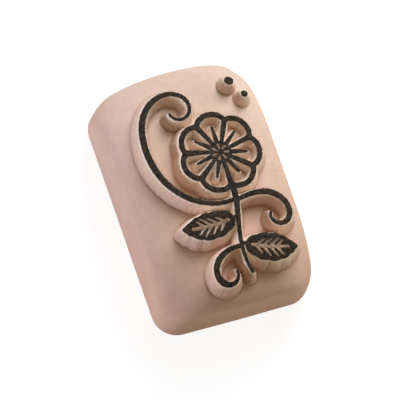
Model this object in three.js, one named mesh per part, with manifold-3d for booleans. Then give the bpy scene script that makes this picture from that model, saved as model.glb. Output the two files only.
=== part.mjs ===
// A hand-held foam stamp for temporary tattoos, lying on its back with the print face up.
// Millimetres, +Z up. X runs across the stamp and Y along it. The origin is the middle of the flat back.
import * as THREE from "three";
import { LoftGeometry } from "three/addons/geometries/LoftGeometry.js";
import { mergeVertices } from "three/addons/utils/BufferGeometryUtils.js";
import Module from "manifold-3d";

const wasm = await Module();
wasm.setup();

// Foam block
const WIDTH = 44;
const LENGTH = 66; // at the back, before the ends swell
const CORNER_RADIUS = 6.7; // in plan
const BACK_EDGE_RADIUS = 2.8;
const FLANK_DRAFT = 0.5; // degrees
const FLANK_HEIGHT = 16.7; // where the flank turns into the shoulder, at the middle of a side
const CORNER_FLANK_HEIGHT = 6; // the same at the corners, which the shoulder rounds far more
const SINK_POWER = 4; // a higher power keeps the sinking of that line nearer to the corners
const FACE_HEIGHT = 23.5; // middle of the cut face
const FACE_DOME = 1.2; // fall of the face from its middle to the middle of a side
const SHOULDER_POWER = 5.6; // a higher power gives a flatter face and tighter shoulders
const END_SWELL = 0.84; // how far the two ends bow out at their middle
const SIDE_WAIST = 0.25; // how far the two long sides draw in at their middle

// Print relief
const RELIEF_DEPTH = 4.8; // from the crown down to the cut face
const FLARE = 0.3; // spread of the cut walls in each millimetre down
const INK_THICKNESS = 0.3;
const SEAT_GAP = 0.3; // between relief and block, and between ink and relief
const JOINT_GAP = 0.3; // between two motifs that meet
const SLIT_DEPTH = 1.6;
const SLIT_TAPER = 0.1; // narrowing of a slit in each millimetre down
const OVERSHOOT = 0.8; // by which raised bodies pass the crown and the face before these cut them

// Artwork field on the face, as margins from the block's sides and ends
const LEFT_MARGIN = 7.5;
const RIGHT_MARGIN = 4.7;
const END_MARGIN = 4.2;

// Blossom
const PETALS = 7;
const BLOSSOM_RADIUS = 10.8;
const PETAL_NOTCH = 1.9; // between two petals
const PETAL_ROUNDNESS = 0.6; // a lower power gives a fuller petal
const PETAL_HALF_WIDTH = 0.8;
const DIVIDER_HALF_WIDTH = 0.5; // between two petals, at the eye
const NOTCH_HALF_WIDTH = 0.85; // where two petals and their divider meet
const RIB_HALF_WIDTH = 0.8; // at the eye
const RIB_LENGTH = 4.4; // from the eye, along the middle of a petal
const EYE_RADIUS = 2.7;
const EYE_SLIT_START = 1.06; // from the middle of the eye
const EYE_SLIT_LENGTH = 1;
const EYE_SLIT_HALF_WIDTHS = [0.16, 0.34];

// Sprays. Turns are degrees over a line's whole length, at the rates of evenly spaced places along it.
const STEM_LENGTH = 25;
const STEM_TURNS = [-100, 25, 100];
const STEM_HALF_WIDTH = 0.95;
const LEFT_TENDRIL_LENGTH = 66;
const LEFT_TENDRIL_TURNS = [-297, -211, -145, -528, -1518];
const RIGHT_TENDRIL_LENGTH = 27;
const RIGHT_TENDRIL_TURNS = [-27, -243, -729];
const LOW_TENDRIL_LENGTH = 21;
const LOW_TENDRIL_TURNS = [63, 252, 588];
const TENDRIL_HALF_WIDTH = 0.62; // at its root
const TENDRIL_SWELL = 0.26; // more, along its middle
const TIP_HALF_WIDTH = 0.42;
const LEAF_LENGTH = 15.5;
const LEAF_HALF_WIDTH = 3.6;
const LEAF_TURN = 31; // degrees
const LEAF_STALK = 1.9;
const LEAF_LEAN = 0.8; // a lower power moves the widest place towards the stalk
const LEAF_FULLNESS = 0.9; // a lower power gives a fuller leaf
const SCALLOP_DEPTH = 0.5;
const SCALLOPS = 6; // on each side of a leaf
const MIDRIB = { from: 0.2, to: 0.84 }; // shares of the leaf's length, as for the roots of its veins
const VEIN_ROOTS = { from: 0.27, to: 0.63 };
const VEINS = 4; // on each side of a leaf
const VEIN_HALF_WIDTH = 0.4;
const VEIN_ANGLE = 46; // degrees from the midrib
const VEIN_MARGIN = 1.1; // between a vein's end and the leaf's edge
const DOT_RADIUS = 1.3;
const SMALL_DOT_RADIUS = 1;

// Facets
const BLOCK_FACETS = { cornerSteps: 6, sideSteps: 4, shoulderSteps: 8 };
const CROWN_FACETS = { cornerSteps: 2, sideSteps: 2, shoulderSteps: 4 };
const BACK_EDGE_STEPS = 3;
const MIDDLE_SHARE = 0.25; // innermost ring of the face
const PETAL_STEPS = 8;
const LEAF_STEPS = 26;
const MIDRIB_STEPS = 4;
const SPOT_SPINE = 0.05; // half the length of a round spot's spine, as a share of its radius
const PEN_STRIDE = 0.2; // in which a scroll is drawn
const LONGEST_FACET = 2.6; // along a scroll
const WIDEST_TURN = 20; // degrees, from one facet of a scroll to the next
const END_TURNS = [72, 36]; // degrees, at which a round end has its sections
const CURL_LIMIT = 0.9; // share of the way to the centre of a curl that its inner wall may reach
const THINNEST = 0.05; // half width that a line keeps however deep its walls go
const WELD = 2e-3; // corners nearer than this become one
const NEEDLE = 1e-3; // facets lower than this over their longest edge are swapped away

const foam = new THREE.MeshStandardMaterial({ color: 0xdcc0ae, roughness: 0.92, metalness: 0 });
const ink = new THREE.MeshStandardMaterial({ color: 0x2b2825, roughness: 0.6, metalness: 0 });

const radians = THREE.MathUtils.degToRad;
const lerp = THREE.MathUtils.lerp;
const plan = (x, y) => new THREE.Vector2(x, y);
const towards = (angle, length) => plan(Math.cos(angle), Math.sin(angle)).multiplyScalar(length);

// The block

const RIM_INSET = (FLANK_HEIGHT - BACK_EDGE_RADIUS) * Math.tan(radians(FLANK_DRAFT));

// A rounded rectangle in plan, counterclockwise, inset from the block's widest outline.
function outline(inset, { cornerSteps, sideSteps }) {
  const radius = CORNER_RADIUS - inset;
  const x = WIDTH / 2 - CORNER_RADIUS;
  const y = LENGTH / 2 - CORNER_RADIUS;
  const centres = [plan(x, y), plan(-x, y), plan(-x, -y), plan(x, -y)];
  const points = [];
  centres.forEach((centre, quarter) => {
    for (let i = 0; i <= cornerSteps; i++) {
      const angle = (quarter + i / cornerSteps) * (Math.PI / 2);
      points.push(towards(angle, radius).add(centre));
    }
    const last = points.at(-1);
    const next = towards((quarter + 1) * (Math.PI / 2), radius).add(centres[(quarter + 1) % 4]);
    for (let i = 1; i < sideSteps; i++) points.push(last.clone().lerp(next, i / sideSteps));
  });
  return points;
}

// How far the rim reaches from the middle of the block in the direction of a plan point.
function rimReach(point) {
  const halfWidth = WIDTH / 2 - RIM_INSET;
  const halfLength = LENGTH / 2 - RIM_INSET;
  const radius = CORNER_RADIUS - RIM_INSET;
  const dx = Math.abs(point.x) / point.length();
  const dy = Math.abs(point.y) / point.length();
  const toSide = halfWidth / dx;
  const toEnd = halfLength / dy;
  if (toSide * dy <= halfLength - radius) return toSide;
  if (toEnd * dx <= halfWidth - radius) return toEnd;
  const cornerX = halfWidth - radius;
  const cornerY = halfLength - radius;
  const along = dx * cornerX + dy * cornerY;
  return along + Math.sqrt(along ** 2 - cornerX ** 2 - cornerY ** 2 + radius ** 2);
}

// How near a rim point is to a sharp corner, from 0 at the middle of a side or an end to 1.
function cornerness(point) {
  return Math.abs(point.x * point.y) / ((WIDTH / 2) * (LENGTH / 2));
}

// Height of the line between flank and shoulder. It sinks towards the corners.
function rimHeight(point) {
  const cornerMiddle = plan(WIDTH / 2, LENGTH / 2).subScalar(CORNER_RADIUS * (1 - Math.SQRT1_2));
  const sink = (cornerness(point) / cornerness(cornerMiddle)) ** SINK_POWER;
  return lerp(FLANK_HEIGHT, CORNER_FLANK_HEIGHT, sink);
}

// Height of the domed face and its shoulder, at a share of the way from the middle to a rim point.
function shoulderHeight(rimPoint, share) {
  const x = (rimPoint.x * share) / (WIDTH / 2);
  const y = (rimPoint.y * share) / (LENGTH / 2);
  const plateau = FACE_HEIGHT - FACE_DOME * (x ** 2 + y ** 2);
  return lerp(rimHeight(rimPoint), plateau, Math.sqrt(Math.max(0, 1 - share ** SHOULDER_POWER)));
}

// The ends bow out and the long sides draw in, fully from the rim up, and not at all at the back.
function bowFactors(x, y, z) {
  const share = Math.min(1, z / FLANK_HEIGHT);
  const fade = (distance, span) => Math.cos((Math.PI / 2) * Math.min(1, Math.abs(distance) / span)) ** 2;
  const waist = SIDE_WAIST * fade(y, LENGTH / 2 - CORNER_RADIUS / 2) * share;
  const swell = END_SWELL * fade(x, WIDTH / 2 - CORNER_RADIUS / 2) * share;
  return plan(1 - waist / (WIDTH / 2), 1 + swell / (LENGTH / 2));
}

function bowed(point, z) {
  const { x, y } = point.clone().multiply(bowFactors(point.x, point.y, z));
  return new THREE.Vector3(x, y, z);
}

// Height of the cut face above a plan point.
function faceHeight(x, y) {
  const point = plan(x, y).divide(bowFactors(x, y, FLANK_HEIGHT));
  if (point.length() < WELD) return FACE_HEIGHT;
  const reach = rimReach(point);
  const share = Math.min(1, point.length() / reach);
  return shoulderHeight(point.setLength(reach), share);
}

// The block lofted through its rings, from the flat back round its edge, up the flank and over the face.
function blockBody(facets) {
  const rings = [];
  for (let i = 0; i <= BACK_EDGE_STEPS; i++) {
    const turn = (i / BACK_EDGE_STEPS) * (Math.PI / 2);
    const inset = BACK_EDGE_RADIUS * (1 - Math.sin(turn));
    const z = BACK_EDGE_RADIUS * (1 - Math.cos(turn));
    rings.push(outline(inset, facets).map((point) => bowed(point, z)));
  }
  for (const share of [0.5, 1]) {
    const ring = outline(RIM_INSET * share, facets);
    rings.push(ring.map((point) => bowed(point, lerp(BACK_EDGE_RADIUS, rimHeight(point), share))));
  }
  const shares = [];
  for (let i = 1; i < facets.shoulderSteps; i++) {
    shares.push(Math.cos((i / facets.shoulderSteps) * (Math.PI / 2)) ** (2 / SHOULDER_POWER));
  }
  for (const share of [...shares, MIDDLE_SHARE]) {
    const ring = outline(RIM_INSET, facets).map((rimPoint) => {
      const { x, y } = bowed(rimPoint.clone().multiplyScalar(share), FLANK_HEIGHT);
      return new THREE.Vector3(x, y, shoulderHeight(rimPoint, share));
    });
    rings.push(ring);
  }
  return toSolid(new LoftGeometry(rings, { capStart: true, capEnd: true }));
}

// Solids and meshes

// Joins corners that all but meet. The facets that lose their area by it go, and so does each pair of
// facets that it lays back to back.
function welded(positions, triangles) {
  const bare = new THREE.BufferGeometry();
  bare.setAttribute("position", new THREE.BufferAttribute(new Float32Array(positions), 3));
  bare.setIndex(new THREE.BufferAttribute(new Uint32Array(triangles), 1));
  const merged = mergeVertices(bare, WELD);
  const index = merged.getIndex().array;
  const kept = new Map();
  for (let i = 0; i < index.length; i += 3) {
    const facet = Array.from(index.subarray(i, i + 3));
    const corners = facet.toSorted().join();
    if (new Set(facet).size < 3) continue;
    if (kept.has(corners)) kept.delete(corners);
    else kept.set(corners, facet);
  }
  merged.setIndex([...kept.values()].flat());
  return merged;
}

// Each needle trades its longest edge for one that runs to the far corner of the facet across it.
function withoutNeedles(geometry) {
  const position = geometry.getAttribute("position");
  const point = (corner) => new THREE.Vector3().fromBufferAttribute(position, corner);
  const span = ([from, to]) => point(from).distanceTo(point(to));
  const index = Array.from(geometry.getIndex().array);
  const facets = [];
  for (let i = 0; i < index.length; i += 3) facets.push(index.slice(i, i + 3));
  const owners = new Map();
  const turned = (facet) => facet.map((corner, i) => [corner, facet[(i + 1) % 3], facet[(i + 2) % 3]]);
  const claim = (facet) => turned(facet).forEach(([from, to]) => owners.set(`${from} ${to}`, facet));
  facets.forEach(claim);
  for (const facet of [...facets, ...facets]) {
    const [from, to, apex] = turned(facet).reduce((best, one) => (span(one) > span(best) ? one : best));
    const area = new THREE.Triangle(point(from), point(to), point(apex)).getArea();
    if ((2 * area) / span([from, to]) > NEEDLE) continue;
    const across = owners.get(`${to} ${from}`);
    const far = across.find((corner) => corner !== from && corner !== to);
    if (far === apex || owners.has(`${apex} ${far}`) || owners.has(`${far} ${apex}`)) continue;
    owners.delete(`${from} ${to}`);
    owners.delete(`${to} ${from}`);
    facet.splice(0, 3, from, far, apex);
    across.splice(0, 3, far, to, apex);
    claim(facet);
    claim(across);
  }
  geometry.setIndex(facets.flat());
  return geometry;
}

function toSolid(geometry) {
  const merged = welded(geometry.getAttribute("position").array, geometry.getIndex().array);
  const vertProperties = new Float32Array(merged.getAttribute("position").array);
  const triVerts = new Uint32Array(merged.getIndex().array);
  return new wasm.Manifold(new wasm.Mesh({ numProp: 3, vertProperties, triVerts }));
}

function toMesh(name, solid, material) {
  const { vertProperties, triVerts } = solid.getMesh();
  const geometry = withoutNeedles(welded(vertProperties, triVerts));
  geometry.computeVertexNormals();
  const mesh = new THREE.Mesh(geometry, material);
  mesh.name = name;
  return mesh;
}

// Lines of the artwork. A line has a spine in plan, and half widths at evenly spaced places along it.

// The value at a share from 0 to 1 of a row of evenly spaced values.
function between(values, share) {
  const place = share * (values.length - 1);
  const i = Math.min(values.length - 2, Math.floor(place));
  return lerp(values[i], values[i + 1], place - i);
}

// A scroll, as a tendril curls, which leaves a point with a heading in degrees. turns holds how far it
// would turn over its length at the rates of evenly spaced places from root to tip.
function scroll(start, heading, length, turns) {
  const strides = Math.ceil(length / PEN_STRIDE);
  const stride = length / strides;
  const points = [start.clone()];
  const pen = start.clone();
  let angle = radians(heading);
  let walked = 0;
  let turned = 0;
  for (let i = 1; i <= strides; i++) {
    const turn = between(turns, (i - 0.5) / strides) / strides;
    angle += radians(turn);
    pen.add(towards(angle, stride));
    walked += stride;
    turned += Math.abs(turn);
    if (walked >= LONGEST_FACET || turned >= WIDEST_TURN || i === strides) {
      points.push(pen.clone());
      walked = 0;
      turned = 0;
    }
  }
  return points;
}

// Cross-sections of a line between two depths below the crown. Its walls spread with depth, but on the
// inside of a curl no further than its centre. Its ends are round unless it says plain, and grow widens
// it all round.
function sections({ spine, halfWidths, plainEnds = false }, top, bottom, spread, grow) {
  const rows = [];
  const row = (centre, tangent, halfWidth, bend, turn) => {
    const corner = (depth, side) => {
      const radius = Math.max(THINNEST, halfWidth + grow + spread * depth);
      const inside = side * bend > 0 ? CURL_LIMIT / Math.abs(bend) : Infinity;
      const across = side * Math.min(inside, radius * Math.cos(turn));
      const offset = plan(-tangent.y, tangent.x).multiplyScalar(across);
      const { x, y } = offset.addScaledVector(tangent, radius * Math.sin(turn)).add(centre);
      return new THREE.Vector3(x, y, faceHeight(x, y) + RELIEF_DEPTH - depth);
    };
    rows.push([corner(top, 1), corner(top, -1), corner(bottom, -1), corner(bottom, 1)]);
  };
  const last = spine.length - 1;
  const steps = spine.slice(1).map((point, i) => point.clone().sub(spine[i]));
  const reached = [0];
  steps.forEach((step) => reached.push(reached.at(-1) + step.length()));
  const turns = plainEnds ? [] : END_TURNS.map(radians);
  const places = spine.map((point, i) => {
    const [back, ahead] = [steps[Math.max(0, i - 1)], steps[Math.min(last - 1, i)]];
    const bend = (2 * Math.sin(ahead.angle() - back.angle())) / (back.length() + ahead.length());
    const tangent = back.clone().add(ahead).normalize();
    return [point, tangent, between(halfWidths, reached[i] / reached[last]), bend];
  });
  turns.forEach((turn) => row(...places[0], -turn));
  places.forEach((place) => row(...place, 0));
  turns.toReversed().forEach((turn) => row(...places[last], turn));
  return rows;
}

function lineSolid(line, top, bottom, spread = FLARE, grow = 0) {
  const rows = sections(line, top, bottom, spread, grow);
  return toSolid(new LoftGeometry(rows, { capStart: true, capEnd: true }));
}

// A filled round spot, as a very short line.
function spot(centre, radius) {
  const nudge = plan(radius * SPOT_SPINE, 0);
  return { spine: [centre.clone().sub(nudge), centre.clone().add(nudge)], halfWidths: [radius, radius] };
}

// Motifs

// A place in the artwork field, where across and along run from -1 to 1.
function at(across, along) {
  const left = -WIDTH / 2 + LEFT_MARGIN;
  const right = WIDTH / 2 - RIGHT_MARGIN;
  const end = LENGTH / 2 - END_MARGIN;
  return plan(lerp(left, right, (across + 1) / 2), along * end);
}

const blossomCentre = at(0.15, 0.2);
const fromBlossom = (angle, radius) => towards(angle, radius).add(blossomCentre);
const notchRadius = BLOSSOM_RADIUS - PETAL_NOTCH;
const petalAngle = (2 * Math.PI) / PETALS;

// The outer edge of a petal, from the notch at an angle to the next.
function petalEdge(angle) {
  const spine = [];
  for (let i = 0; i <= PETAL_STEPS; i++) {
    const share = i / PETAL_STEPS;
    const radius = lerp(notchRadius, BLOSSOM_RADIUS, Math.sin(Math.PI * share) ** PETAL_ROUNDNESS);
    spine.push(fromBlossom(angle + share * petalAngle, radius));
  }
  return { spine, halfWidths: [PETAL_HALF_WIDTH, PETAL_HALF_WIDTH], plainEnds: true };
}

function spoke(angle, from, to, halfWidths, plainEnds = false) {
  return { spine: [fromBlossom(angle, from), fromBlossom(angle, to)], halfWidths, plainEnds };
}

// An open blossom: petals in outline, each with a rib, round a filled eye with a short slit for each.
function blossom() {
  const lines = [spot(blossomCentre, EYE_RADIUS)];
  const slits = [];
  for (let i = 0; i < PETALS; i++) {
    const notch = -Math.PI / 2 + i * petalAngle;
    const rib = notch + petalAngle / 2;
    lines.push(petalEdge(notch));
    lines.push(spoke(notch, EYE_RADIUS / 2, notchRadius, [DIVIDER_HALF_WIDTH, NOTCH_HALF_WIDTH]));
    lines.push(spoke(rib, EYE_RADIUS / 2, EYE_RADIUS + RIB_LENGTH, [RIB_HALF_WIDTH, TIP_HALF_WIDTH]));
    slits.push(spoke(rib, EYE_SLIT_START, EYE_SLIT_START + EYE_SLIT_LENGTH, EYE_SLIT_HALF_WIDTHS, true));
  }
  return { lines, slits };
}

const stemSpine = scroll(fromBlossom(-Math.PI / 2, notchRadius), -84, STEM_LENGTH, STEM_TURNS);
const onStem = (share) => new THREE.SplineCurve(stemSpine).getPointAt(share);

function stem() {
  return { lines: [{ spine: stemSpine, halfWidths: [STEM_HALF_WIDTH, TIP_HALF_WIDTH] }] };
}

function tendril(start, heading, length, turns) {
  const swollen = TENDRIL_HALF_WIDTH + TENDRIL_SWELL;
  const halfWidths = [TENDRIL_HALF_WIDTH, swollen, swollen, TIP_HALF_WIDTH];
  return { lines: [{ spine: scroll(start, heading, length, turns), halfWidths }] };
}

// A filled leaf with scalloped edges on a short stalk, split by a midrib and its side veins.
function leaf(start, heading, turn) {
  const curve = new THREE.SplineCurve(scroll(start, heading, LEAF_LENGTH, [turn, turn]));
  const bladeWidths = [];
  for (let i = 0; i <= LEAF_STEPS; i++) {
    const blade = Math.max(0, ((i / LEAF_STEPS) * LEAF_LENGTH - LEAF_STALK) / (LEAF_LENGTH - LEAF_STALK));
    const body = Math.sin(Math.PI * blade ** LEAF_LEAN) ** LEAF_FULLNESS;
    const scallop = SCALLOP_DEPTH * Math.abs(Math.sin(SCALLOPS * Math.PI * blade)) * body;
    bladeWidths.push(TIP_HALF_WIDTH + LEAF_HALF_WIDTH * body - scallop);
  }
  const midrib = [];
  for (let i = 0; i <= MIDRIB_STEPS; i++) {
    midrib.push(curve.getPointAt(lerp(MIDRIB.from, MIDRIB.to, i / MIDRIB_STEPS)));
  }
  const slits = [{ spine: midrib, halfWidths: [VEIN_HALF_WIDTH, VEIN_HALF_WIDTH], plainEnds: true }];
  for (let i = 0; i < VEINS; i++) {
    const share = lerp(VEIN_ROOTS.from, VEIN_ROOTS.to, i / (VEINS - 1));
    const root = curve.getPointAt(share);
    const along = curve.getTangentAt(share).angle();
    const reach = (between(bladeWidths, share) - VEIN_MARGIN) / Math.sin(radians(VEIN_ANGLE));
    for (const side of [-1, 1]) {
      const tip = towards(along + side * radians(VEIN_ANGLE), reach).add(root);
      const halfWidths = [VEIN_HALF_WIDTH, VEIN_HALF_WIDTH / 2];
      slits.push({ spine: [root, tip], halfWidths, plainEnds: true });
    }
  }
  return { lines: [{ spine: curve.getSpacedPoints(LEAF_STEPS), halfWidths: bladeWidths }], slits };
}

const motifs = {
  blossom: blossom(),
  stem: stem(),
  tendril_left: tendril(onStem(0.18), 192, LEFT_TENDRIL_LENGTH, LEFT_TENDRIL_TURNS),
  tendril_right: tendril(onStem(0.2), 14, RIGHT_TENDRIL_LENGTH, RIGHT_TENDRIL_TURNS),
  tendril_low: tendril(onStem(0.7), 176, LOW_TENDRIL_LENGTH, LOW_TENDRIL_TURNS),
  leaf_left: leaf(onStem(0.36), 196, -LEAF_TURN),
  leaf_right: leaf(onStem(0.66), -32, LEAF_TURN),
  dot_large: { lines: [spot(at(0.74, 0.86), DOT_RADIUS)] },
  dot_small: { lines: [spot(at(0.92, 0.7), SMALL_DOT_RADIUS)] },
};

// A motif as one raised body with spreading walls, cut by its slits and by the motifs before it.
function raisedBody({ lines, slits = [] }, before) {
  const deep = RELIEF_DEPTH + OVERSHOOT;
  let body = lines.map((line) => lineSolid(line, -OVERSHOOT, deep)).reduce((all, one) => all.add(one));
  for (const slit of slits) body = body.subtract(lineSolid(slit, -2 * OVERSHOOT, SLIT_DEPTH, -SLIT_TAPER));
  for (const line of before.flatMap((motif) => motif.lines)) {
    body = body.subtract(lineSolid(line, -2 * OVERSHOOT, deep + OVERSHOOT, FLARE, JOINT_GAP));
  }
  return body;
}

// The relief is cut to one depth, so its crown and the underside of its ink follow the face. A plainer
// copy of the block, lifted to each height, cuts them, and the block itself cuts the relief's foot.
const block = blockBody(BLOCK_FACETS);
const plainBlock = blockBody(CROWN_FACETS);
const crown = plainBlock.translate([0, 0, RELIEF_DEPTH]);
const underInk = plainBlock.translate([0, 0, RELIEF_DEPTH - INK_THICKNESS]);
const underSeat = plainBlock.translate([0, 0, RELIEF_DEPTH - INK_THICKNESS - SEAT_GAP]);
const foot = block.translate([0, 0, SEAT_GAP]);

const stamp = new THREE.Group();
stamp.add(toMesh("foam_block", block, foam));
const before = [];
for (const [name, motif] of Object.entries(motifs)) {
  const raised = raisedBody(motif, before);
  stamp.add(toMesh(`relief_${name}`, raised.intersect(underSeat).subtract(foot), foam));
  stamp.add(toMesh(`ink_${name}`, raised.intersect(crown).subtract(underInk), ink));
  before.push(motif);
}

export default stamp;
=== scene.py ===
"""A foam stamp for temporary tattoos, lying on its back, with black ink on the crowns of its raised print.

The shape code works in millimetres, with the same formulas as the construction model. Every Blender
object is in metres.
"""

import math

import bpy
import numpy as np
from mathutils import Matrix, Vector, noise
from mathutils.geometry import delaunay_2d_cdt


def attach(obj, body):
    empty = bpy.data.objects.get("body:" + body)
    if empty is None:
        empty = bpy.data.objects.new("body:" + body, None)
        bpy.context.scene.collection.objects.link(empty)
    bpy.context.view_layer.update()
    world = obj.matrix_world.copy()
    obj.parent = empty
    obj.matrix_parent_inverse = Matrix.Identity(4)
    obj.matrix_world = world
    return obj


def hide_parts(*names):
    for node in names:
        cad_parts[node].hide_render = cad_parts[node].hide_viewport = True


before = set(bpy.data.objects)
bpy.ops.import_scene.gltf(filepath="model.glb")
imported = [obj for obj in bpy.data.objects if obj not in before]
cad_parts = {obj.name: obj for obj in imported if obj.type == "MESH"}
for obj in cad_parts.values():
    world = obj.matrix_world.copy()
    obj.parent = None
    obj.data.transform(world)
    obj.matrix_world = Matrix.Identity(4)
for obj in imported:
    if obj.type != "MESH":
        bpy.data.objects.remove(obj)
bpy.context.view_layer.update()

MM = 0.001
TINY = 1e-9  # takes the place of a zero that would be divided by
FAR = 99.0  # farther than any edge of the print

# Foam block
WIDTH = 44
LENGTH = 66
CORNER_RADIUS = 6.7
BACK_EDGE_RADIUS = 2.8
FLANK_DRAFT = 0.5  # degrees
FLANK_HEIGHT = 16.7
CORNER_FLANK_HEIGHT = 6
SINK_POWER = 4
FACE_HEIGHT = 23.5
FACE_DOME = 1.2
SHOULDER_POWER = 5.6
END_SWELL = 0.84
SIDE_WAIST = 0.25

# Print relief
RELIEF_DEPTH = 4.8
FLARE = 0.3
SLIT_DEPTH = 1.6
SLIT_TAPER = 0.1
INK_DEPTH = 0.12  # of the coat above the foam's crown
INK_INSET = 0.03  # bare lip of foam between the ink and the edge of the crown
INK_ROUND = 0.07  # over which the coat thins at its edge
INK_ROUND_START = -0.02
INK_EDGE_LOSS = 0.7  # share of its depth that the coat loses at its edge
INK_UNDERSIDE = 1.3  # the coat reaches this many times its depth down from its top
FOOT_FILLET = 0.3
CROWN_ROUND = 0.1
FLUTE_DEPTH = 0.11  # grooves that the cut leaves in the walls
FLUTE_WIDTH = 0.55
BROAD_FLUTE_WIDTH = 1.9
BROAD_FLUTE_SHARE = 0.8  # of the depth of the others
FLUTE_LAYER = 5  # of the noise that the broad flutes come from
FOOT_GROOVE = 0.22  # depth of the line that the cut leaves along the foot of the walls
FOOT_GROOVE_WIDTH = 0.28
CELL_FLOOR = 1.7  # above the cut face, inside the petals
EDGE_WOBBLE = 0.07
SLOW_WOBBLE_SHARE = 0.6
# Rate, bend and the bend's rate, of waves along x and of waves along y
SLOW_WAVES = ((1.9, 2.3, 1.1), (2.3, 1.7, 1.3))
QUICK_WAVES = ((6.1, 1.9, 4.3), (5.3, 2.1, 5.9))
WALL_REACH = 3  # from the edges of the print, beyond which the face is bare
FIELD_REACH = 3.5  # beyond which distances to the print aren't measured
GRADIENT_STEP = 0.02

# Artwork field on the face, as margins from the block's sides and ends
LEFT_MARGIN = 7.5
RIGHT_MARGIN = 4.7
END_MARGIN = 4.2

# Blossom. Places in the artwork field run from -1 to 1, across and along.
BLOSSOM_PLACE = (0.15, 0.2)
FIRST_NOTCH = -math.pi / 2  # straight down the block
PETALS = 7
PETAL_POINTS = 33
BLOSSOM_RADIUS = 10.8
PETAL_NOTCH = 1.9
PETAL_ROUNDNESS = 0.6
PETAL_HALF_WIDTH = 0.8
DIVIDER_HALF_WIDTH = 0.5
NOTCH_HALF_WIDTH = 0.85
RIB_HALF_WIDTH = 0.8
RIB_LENGTH = 4.4
EYE_RADIUS = 2.7
EYE_SLIT_START = 1.06
EYE_SLIT_LENGTH = 1
EYE_SLIT_HALF_WIDTHS = (0.16, 0.34)

# Sprays. Turns are degrees over a line's whole length, at the rates of evenly spaced places along it.
# A root is the share of the stem's length at which a spray leaves it, with its heading in degrees.
STEM_HEADING = -84  # degrees
STEM_LENGTH = 25
STEM_TURNS = (-100, 25, 100)
STEM_HALF_WIDTH = 0.95
LEFT_TENDRIL_ROOT = (0.18, 192)
LEFT_TENDRIL_LENGTH = 66
LEFT_TENDRIL_TURNS = (-297, -211, -145, -528, -1518)
RIGHT_TENDRIL_ROOT = (0.2, 14)
RIGHT_TENDRIL_LENGTH = 27
RIGHT_TENDRIL_TURNS = (-27, -243, -729)
LOW_TENDRIL_ROOT = (0.7, 176)
LOW_TENDRIL_LENGTH = 21
LOW_TENDRIL_TURNS = (63, 252, 588)
TENDRIL_HALF_WIDTH = 0.62
TENDRIL_SWELL = 0.26
TIP_HALF_WIDTH = 0.42
LEFT_LEAF_ROOT = (0.36, 196)
RIGHT_LEAF_ROOT = (0.66, -32)
LEAF_LENGTH = 15.5
LEAF_HALF_WIDTH = 3.6
LEAF_TURN = 31  # degrees
LEAF_STALK = 1.9
LEAF_LEAN = 0.8  # a lower power moves the widest place towards the stalk
LEAF_FULLNESS = 0.9  # a lower power gives a fuller leaf
SCALLOP_DEPTH = 0.5
SCALLOPS = 6
TOOTH_DEPTH = 0.36
TEETH = 3  # fine ones in each scallop
MIDRIB = (0.2, 0.36, 0.52, 0.68, 0.84)  # shares of the leaf's length, as for the roots of its veins
VEIN_ROOTS = (0.27, 0.63)
VEINS = 4  # on each side of a leaf
VEIN_HALF_WIDTH = 0.4
VEIN_ANGLE = 46  # degrees
VEIN_MARGIN = 1.1  # between a vein's end and the leaf's edge
DOT_PLACE = (0.74, 0.86)
DOT_RADIUS = 1.3
SMALL_DOT_PLACE = (0.92, 0.7)
SMALL_DOT_RADIUS = 1

# Meshes
CORNER_STEPS = 16
END_STEPS = 30
SIDE_STEPS = 52
SHOULDER_STEPS = 16
STEEP_STEPS = 4  # of the shoulder's, next to the flank, outside the mesh of the face
SHOULDER_GAP = 0.03  # inside the shoulder's last ring, as a share of the way to the rim
FLANK_STEPS = 14
BACK_EDGE_STEPS = 8
SOLE_SHARES = (0.9, 0.6, 0.3)  # rings on the flat back, as shares of the way from its middle
PEN_STRIDE = 0.2
GRID = 0.16  # spacing of the grid on which the edges of the print are found
SIDE_GRID_MARGIN = 1  # between the grid and the block's sides
END_GRID_MARGIN = 0.5
SNAP = GRID / 8  # least distance of contours from the grid's points
WALL_LEVELS = (-0.1, 0, 0.1, 0.35, 0.65, 0.95, 1.2, 1.36, 1.52, 1.72, 2.1)  # contours, from the crowns' edges
VALLEY_START = 0.1  # the contour from which walls may meet
VALLEY_SLOPE = 0.8  # where the distance to the nearest edge changes less than this, two walls meet
VALLEY_GAP = GRID / 4  # between the points there and the contours
SLIT_LEVELS = (0, -0.09, -0.17)
FACE_SPACING = 1.0  # of mesh points on the bare face
FACE_GAP = 2.4  # between them and the crowns' edges
CROWN_GAP = 0.5  # between the points on a crown and its edge
INK_SPACING = 0.7
INK_GAP = 0.2  # between the ink's even points and the line where it starts to thin
ROW_SHARE = math.sqrt(0.75)  # of an even triangle's height to its side
SCRAP = 2.0  # least area of a patch of ink that is its motif's own, in square millimetres
INSIDE_EDGES = 1  # the triangulation's kind: only what the edges enclose
MERGE_DISTANCE = 1e-5
FOAM_SHARP_ANGLE = 48  # degrees
INK_SHARP_ANGLE = 50

# Where the cut changes the foam's look, with painted light in the recesses, a painted highlight on the lips
# and painted shade along the foot
WALL_RISE = (0.15, 1.2)  # heights over which the walls' look comes in
CROWN_LOOK = 0.05  # width of the walls' look on the crowns
LIP_LOOK = 0.2  # width of the pale lip and its painted highlight, on each side of a crown's edge
SLIT_LIP_LOOK = 0.1  # and round the slits
SHADE_BLUR = 1.6
SHADE_RANGE = (0.1, 0.5)  # shares of raised print round a point

# The block's surface


def lerp(a, b, share):
    return a + (b - a) * share


RIM_INSET = (FLANK_HEIGHT - BACK_EDGE_RADIUS) * math.tan(math.radians(FLANK_DRAFT))


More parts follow.
